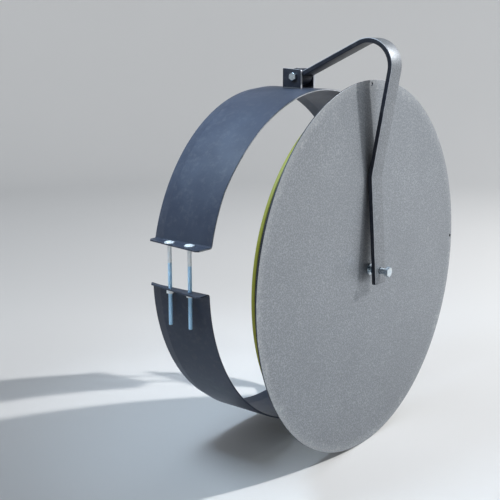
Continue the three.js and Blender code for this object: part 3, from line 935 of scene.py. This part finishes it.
half_hub = size("arm_hub").x / 2
hub_profile = [  # (radius, distance in from the hub's end), from the bore to the outside
    (PIN_R + PIN_CLEARANCE, 0.8 * MM),
    (PIN_R + PIN_CLEARANCE + 0.8 * MM, 0),
    (HUB_R - 1.2 * MM, 0),
    (HUB_R - 0.3 * MM, 0.4 * MM),
    (HUB_R, 1.2 * MM),
]
hub_rings = [ring(radius, -half_hub + inset, HUB_ROUND) for radius, inset in hub_profile]
hub_rings += [ring(radius, half_hub - inset, HUB_ROUND) for radius, inset in reversed(hub_profile)]
points, faces = stack(hub_rings, loop=True)
points = placed(points, (1, 0, 0), (0, PIVOT.y, PIVOT.z))
finish_mesh("hub_boss", points, faces, [DARK_PAINT], "arm", ["arm_hub"])

for seed, (name, offset) in enumerate((("hub_weld_top", BAR_T / 2), ("hub_weld_under", -BAR_T / 2))):
    middle, out = ARM_PATH[0]
    way = np.array([-math.cos(RISE), math.sin(RISE)])
    face_point = np.array(middle) + np.array(out) * offset
    from_hub = face_point - np.array([PIVOT.y, PIVOT.z])
    along = -np.dot(from_hub, way) + math.sqrt(HUB_R**2 - (np.dot(from_hub, out)) ** 2)
    spot = face_point + way * (along + BEAD_OUT) + np.array(out) * math.copysign(0.6 * MM, offset)
    half = half_hub - 1 * MM
    bead(name, [(-half, *spot), (half, *spot)], HUB_BEAD, "arm", WELD, 10 + seed)

# ---------------------------------------------------------------- disc, its bolt and its seal

STUD_R, STUD_PITCH, STUD_HEAD, STUD_THREAD = 8 * MM, 2 * MM, 10 * MM, 50 * MM
NYLON_COLLAR = 4.5 * MM
WASHER_CLEARANCE = 0.3 * MM
stud = "disc_bolt"
stud_length = size(stud).y - STUD_HEAD
rings = hex_head_rings(size(stud).x, STUD_HEAD, STUD_R)
points, faces = bolt_points(rings, -STUD_HEAD, STUD_R, STUD_PITCH, stud_length - STUD_THREAD, stud_length)
points = placed(points, (0, 1, 0), (0, low(stud).y + STUD_HEAD, DISC_CENTRE.z))
finish_mesh("centre_bolt", points, faces, [ZINC], "stud", [stud])

for name, node in (("front_washer", "disc_washer"), ("fender_washer", "back_washer")):
    points, faces = washer_points(size(node).x / 2, STUD_R + WASHER_CLEARANCE, size(node).y)
    points = placed(points, (0, 1, 0), (0, low(node).y, DISC_CENTRE.z))
    finish_mesh(name, points, faces, [ZINC], "stud", [node])

# Painted shadow: the jam nut takes the dark blue copy of the zinc.
points, faces = nut_points(size("arm_nut").x, size("arm_nut").y, STUD_R + NUT_CLEARANCE)
points = placed(points, (0, 1, 0), (0, low("arm_nut").y, DISC_CENTRE.z))
finish_mesh("jam_nut", points, faces, [ZINC_WITH_PAINTED_SHADOW], "stud", ["arm_nut"])

points, faces = nut_points(size("lock_nut").x, size("lock_nut").y, STUD_R + NUT_CLEARANCE, NYLON_COLLAR)
points = placed(points, (0, 1, 0), (0, low("lock_nut").y, DISC_CENTRE.z))
lock_nut = finish_mesh("nylon_lock_nut", points, faces, [ZINC, NYLON], "stud", ["lock_nut"])
NYLON_R = STUD_R + 3.2 * MM
NYLON_START = high("lock_nut").y - 3 * MM


def nylon_ring(centre, normal):
    """True on the ring inside the lock nut's collar."""
    return centre.y > NYLON_START and math.hypot(centre.x, centre.z - DISC_CENTRE.z) < NYLON_R


assign_face(lock_nut, 1, nylon_ring)

DISC_R = size("flap_disc").x / 2
DISC_EDGE = 0.6 * MM
DISC_BORE = 8.8 * MM
BORE_EDGE = 0.5 * MM
DISC_ROOM = 0.55 * MM  # how far the faces lie inside the CAD plate, so they can wave
DISC_BOW, DISC_RIPPLE = 0.35 * MM, 0.2 * MM
DISC_ROUND = 192
RIM_HOLE_R, RIM_HOLE_CIRCLE = 4.5 * MM, 470 * MM
RIM_HOLE_ANGLES = [math.radians(1.8), math.radians(91.8)]  # from +X, about the disc's axis


def disc_face(y, out_radius):
    """Rings of one face from bore to rim, with the slight unevenness of a cut plate."""
    rings = []
    first = DISC_BORE + BORE_EDGE
    for share in (0.0, 0.02, 0.08, 0.2, 0.35, 0.5, 0.65, 0.8, 0.92, 0.98, 1.0):
        radius = first + (out_radius - first) * share
        angle = turn_angles(DISC_ROUND)
        bow = DISC_BOW * np.sin(2 * angle + 0.6) * share**2
        wave = bow + DISC_RIPPLE * np.sin(5 * angle + 5 * share) * share
        rings.append(ring(radius, y + wave, DISC_ROUND))
    return rings


def disc_mesh():
    front, back = 0.0, size("flap_disc").y
    front_rings = disc_face(front + DISC_ROOM, DISC_R - DISC_EDGE)
    back_rings = disc_face(back - DISC_ROOM, DISC_R - DISC_EDGE)
    rim = [front_rings[-1].copy(), back_rings[-1].copy()]
    for edge, step in ((rim[0], DISC_EDGE), (rim[1], -DISC_EDGE)):
        edge[:, 0] *= DISC_R / (DISC_R - DISC_EDGE)
        edge[:, 1] *= DISC_R / (DISC_R - DISC_EDGE)
        edge[:, 2] += step
    bore = [ring(DISC_BORE, y, DISC_ROUND) for y in (back - 2 * DISC_ROOM, front + 2 * DISC_ROOM)]
    rings = front_rings + rim + back_rings[::-1] + bore
    return stack(rings, loop=True)


points, faces = disc_mesh()
points = placed(points, (0, 1, 0), (0, low("flap_disc").y, DISC_CENTRE.z))
disc = finish_mesh("disc_plate", points, faces, [DISC_WEAR_AND_PAINTED_EDGE_HIGHLIGHT, DARK_PAINT], "disc", ["flap_disc"])
hole, hole_faces = plug(RIM_HOLE_R, -60 * MM, -30 * MM)
rim_holes = []
for angle in RIM_HOLE_ANGLES:
    x, z = RIM_HOLE_CIRCLE * math.cos(angle), DISC_CENTRE.z + RIM_HOLE_CIRCLE * math.sin(angle)
    rim_holes.append((placed(hole, (0, 1, 0), (x, 0, z)), hole_faces))
drill(disc, rim_holes)
# Painted shade: the disc's rim and bore take the dark paint, darker than the grey plate they are cut in.
assign_face(disc, 1, lambda centre, normal: abs(normal.y) < 0.5)


GROOVE = 1 * MM  # depth of the grooves between the seal's ribs
RING_ROUND = 224


def ring_section(name, node, profile, material):
    """A ring about the disc's axis, from a closed profile of (radius, distance behind the node's front)."""
    rings = [ring(radius, depth, RING_ROUND) for radius, depth in profile]
    points, faces = stack(rings, loop=True)
    points = placed(points, (0, 1, 0), (0, low(node).y, DISC_CENTRE.z))
    finish_mesh(name, points, faces, [material], "disc", [node], sharp=40)


def rounded_profile(inner, outer, depth, radius, ribs=0):
    """A rounded box section, with shallow grooves between ribs run round its outer side."""
    profile = []
    corners = ((outer - radius, radius, -90), (outer - radius, depth - radius, 0))
    corners += ((inner + radius, depth - radius, 90), (inner + radius, radius, 180))
    for index, (r, z, first) in enumerate(corners):
        for i in range(5):
            angle = math.radians(first + 90 * i / 4)
            profile.append((r + radius * math.cos(angle), z + radius * math.sin(angle)))
        if index == 0 and ribs:
            span = depth - 2 * radius
            for i in range(1, ribs * 4):
                share = i / (ribs * 4)
                dip = GROOVE / 2 * (1 - math.cos(2 * math.pi * ribs * share))
                profile.append((outer - dip, radius + span * share))
    return profile


SEAL_OUTER = size("seal_lip_ring").x / 2
SEAL_INNER = SEAL_OUTER - 26 * MM
back_depth, lip_depth = size("seal_backing_ring").y, size("seal_lip_ring").y
ring_section(
    "seal_backing", "seal_backing_ring", rounded_profile(SEAL_INNER, SEAL_OUTER, back_depth, 1.5 * MM, 4),
    BLACK_RUBBER,
)
ring_section(
    "seal_lip", "seal_lip_ring", rounded_profile(SEAL_INNER, SEAL_OUTER, lip_depth, 2.5 * MM),
    LIME_RUBBER,
)

# ---------------------------------------------------------------- floor, light and camera

FLOOR_Z = -0.4895  # just under the disc
FLOOR_R, FLOOR_BEND = 5.0, 2.0


def plain_material(name, colour):
    material, tree, shader, place = node_material(name)
    shade_noise = noise(tree, place, 0.7, detail=2.0)
    darker = tuple(channel * 0.985 for channel in colour)
    tree.links.new(ramp(tree, shade_noise, [(0.3, colour), (0.7, darker)]), shader.inputs["Base Color"])
    shader.inputs["Roughness"].default_value = 0.9
    return material


def backdrop():
    """A pale floor that curves up into a wall all round."""
    profile = [(0.02, 0.0), (2.0, 0.0), (FLOOR_R, 0.0)]
    for step in range(1, 13):
        angle = math.radians(90 * step / 12)
        rise = FLOOR_BEND - FLOOR_BEND * math.cos(angle)
        profile.append((FLOOR_R + FLOOR_BEND * math.sin(angle), rise))
    rings = [ring(r, z + FLOOR_Z, 96) for r, z in profile]
    points, faces = stack(rings, start=(0, 0, FLOOR_Z))
    mesh = bpy.data.meshes.new("floor")
    mesh.from_pydata([tuple(p) for p in points], [], faces)
    floor = bpy.data.objects.new("floor", mesh)
    bpy.context.scene.collection.objects.link(floor)
    mesh.materials.append(plain_material("pale_floor", (0.74, 0.745, 0.75)))
    shade(floor, 60)


def area_light(name, place, target, width, power, colour, spread=180):
    """A round light of a width in metres and a power in watts, with its spread in degrees."""
    light = bpy.data.lights.new(name, "AREA")
    light.spread = math.radians(spread)
    light.shape = "DISK"
    light.size = width
    light.energy = power
    light.color = colour
    lamp = bpy.data.objects.new(name, light)
    bpy.context.scene.collection.objects.link(lamp)
    lamp.location = place
    lamp.rotation_euler = (Vector(target) - Vector(place)).to_track_quat("-Z", "Y").to_euler()


backdrop()
area_light("key", (3.65, -3.57, 3.68), (0, -0.09, 0.2), 0.2, 395, (1.0, 0.985, 0.965))
area_light("sky", (0.0, 0.8, 5.0), (0, 0, 0), 4.0, 44, (0.75, 0.86, 1.0))
area_light("front", (0.35, -0.8, 1.3), (0.2, -0.05, 0.45), 0.5, 1.0, (0.9, 0.95, 1.0), 50)
area_light("side", (-0.75, 0.4, 1.2), (-0.25, 0.2, 0.3), 0.5, 2.8, (0.66, 0.83, 1.0), 70)

world = bpy.data.worlds.new("studio")
bpy.context.scene.world = world
world.use_nodes = True
background = world.node_tree.nodes["Background"]
background.inputs["Color"].default_value = (0.9, 0.95, 1.0, 1)
background.inputs["Strength"].default_value = 0.3

CAMERA_PLACE = Vector((-1.9296, -1.1616, 0.5219))
CAMERA_YAW = math.radians(52.03)  # from +Y towards +X
CAMERA_PITCH = math.radians(-12.3)
camera_data = bpy.data.cameras.new("camera")
camera_data.lens = 63.2  # mm
camera_data.sensor_width = 36  # mm
camera_data.clip_end = 60
camera = bpy.data.objects.new("camera", camera_data)
bpy.context.scene.collection.objects.link(camera)
camera.location = CAMERA_PLACE
level = math.cos(CAMERA_PITCH)
look = Vector((math.sin(CAMERA_YAW) * level, math.cos(CAMERA_YAW) * level, math.sin(CAMERA_PITCH)))
camera.rotation_euler = look.to_track_quat("-Z", "Y").to_euler()
bpy.context.scene.camera = camera
bpy.context.scene.view_settings.view_transform = "Standard"
